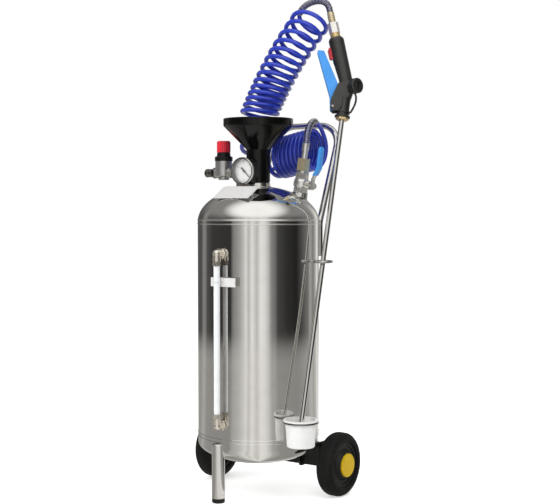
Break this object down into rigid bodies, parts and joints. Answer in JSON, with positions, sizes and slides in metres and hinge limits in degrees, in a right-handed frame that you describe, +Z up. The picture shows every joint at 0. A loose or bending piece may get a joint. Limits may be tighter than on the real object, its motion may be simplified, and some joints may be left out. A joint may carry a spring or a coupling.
{
  "type": "wheeled foam sprayer",
  "caption": "Wheeled stainless-steel pressure foam sprayer with filling funnel, air regulator, gauge, level tube, outlet valve, spiral hose, trigger gun and a lance that stands in a drip cup.",
  "frame": {"origin": "on the floor under the middle of the trolley's bounding box, without the hose and its spring guards", "axes": "+Z up, front with the level tube and gauge at -Y, lance and outlet valve at +X"},
  "size_m": [0.3535, 0.3291, 0.9881],
  "materials": {
    "polished_steel": "mirror polished",
    "bright_steel": "bright",
    "steel_wire": "drawn wire",
    "nickel_plate": "nickel plated",
    "brass": "machined",
    "black_gloss": "glossy",
    "black_satin": "satin",
    "black_paint": "powder coated",
    "tyre": "solid rubber",
    "seal_rubber": "moulded",
    "yellow": "glossy",
    "red": "glossy",
    "sky_blue": "satin",
    "hose_blue": "glossy",
    "white": "matt",
    "plate": "bare",
    "milky": "translucent",
    "clear": "clear"
  },
  "bodies": {
    "trolley": {"tank_shell": "polished_steel", "top_head": "polished_steel", "bottom_head": "polished_steel", "leg_tube": "polished_steel", "leg_foot": "black_satin", "axle_bracket": "black_paint", "axle": "bright_steel", "wheel_spacers": "black_satin", "handle_frame": "polished_steel", "filler_neck": "polished_steel", "neck_seal": "seal_rubber", "funnel": "black_gloss", "nameplate": "plate", "gauge_stub": "nickel_plate", "gauge_case": "black_satin", "gauge_bezel": "bright_steel", "gauge_dial": "white", "gauge_lens": "clear", "regulator_elbow": "nickel_plate", "regulator_body": "nickel_plate", "regulator_bonnet": "black_satin", "air_inlet": "nickel_plate", "level_elbow_upper": "nickel_plate", "level_elbow_lower": "nickel_plate", "level_nuts": "nickel_plate", "level_tube": "milky", "level_tag": "white", "outlet_boss": "polished_steel", "dip_tube": "bright_steel", "valve_body": "nickel_plate", "tank_hose_nut": "brass", "tank_hose_tail": "nickel_plate", "tank_hose_guard": "steel_wire", "lance_ring": "steel_wire", "cup_ring": "steel_wire", "drip_cup": "white", "lance_tube": "bright_steel", "lance_nut": "brass", "foam_nozzle": "brass", "gun_body": "black_satin", "trigger_pin": "bright_steel", "gun_cap": "black_satin", "gun_inlet": "brass", "gun_hose_guard": "steel_wire", "spiral_hose": "hose_blue"},
    "left_wheel": {"left_tyre": "tyre", "left_rim": "black_satin", "left_hub_cap": "yellow"},
    "right_wheel": {"right_tyre": "tyre", "right_rim": "black_satin", "right_hub_cap": "yellow"},
    "outlet_lever": {"valve_lever": "bright_steel", "lever_sleeve": "sky_blue", "lever_nut": "nickel_plate", "valve_ball": "bright_steel"},
    "gun_trigger": {"trigger": "sky_blue"},
    "gun_valve_pin": {"valve_pin": "bright_steel"},
    "gun_lock": {"lock_button": "red"},
    "pressure_knob": {"regulator_knob": "red"},
    "needle": {"gauge_needle": "black_satin"}
  },
  "joints": [
    {"name": "left_wheel_spin", "type": "hinge", "parent": "trolley", "child": "left_wheel", "pos_m": [-0.154, 0.042, 0.0625], "axis": [1, 0, 0], "continuous": true},
    {"name": "right_wheel_spin", "type": "hinge", "parent": "trolley", "child": "right_wheel", "pos_m": [0.146, 0.042, 0.0625], "axis": [1, 0, 0], "continuous": true},
    {"name": "outlet_lever_turn", "type": "hinge", "parent": "trolley", "child": "outlet_lever", "pos_m": [0.06623, 0.028, 0.61384], "axis": [0.9903, 0, -0.1392], "range_deg": [0, 90]},
    {"name": "trigger_pull", "type": "hinge", "parent": "trolley", "child": "gun_trigger", "pos_m": [0.11867, 0.05939, 0.76499], "axis": [-0.5613, 0.8005, -0.2101], "range_deg": [0, 6], "stiffness_Nm_per_rad": 2, "springref_deg": -5.73},
    {"name": "valve_pin_push", "type": "slide", "parent": "trolley", "child": "gun_valve_pin", "axis": [0.8277, 0.5449, -0.1343], "range_m": [0, 0.0018]},
    {"name": "lock_push", "type": "slide", "parent": "trolley", "child": "gun_lock", "axis": [0.7804, 0.5963, 0.1882], "range_m": [0, 0.004], "stiffness_N_per_m": 250, "springref_m": -0.002},
    {"name": "pressure_knob_turn", "type": "hinge", "parent": "trolley", "child": "pressure_knob", "pos_m": [-0.09, -0.02, 0.69], "axis": [0, 0, 1], "range_deg": [0, 1080]},
    {"name": "needle_swing", "type": "hinge", "parent": "trolley", "child": "needle", "pos_m": [-0.0055, -0.063, 0.639], "axis": [0, 1, 0], "range_deg": [0, 270], "stiffness_Nm_per_rad": 0.0005, "springref_deg": -17.19}
  ],
  "couplings": [
    {"joint": "valve_pin_push", "follows": "trigger_pull", "m_per_rad": 0.0164}
  ]
}
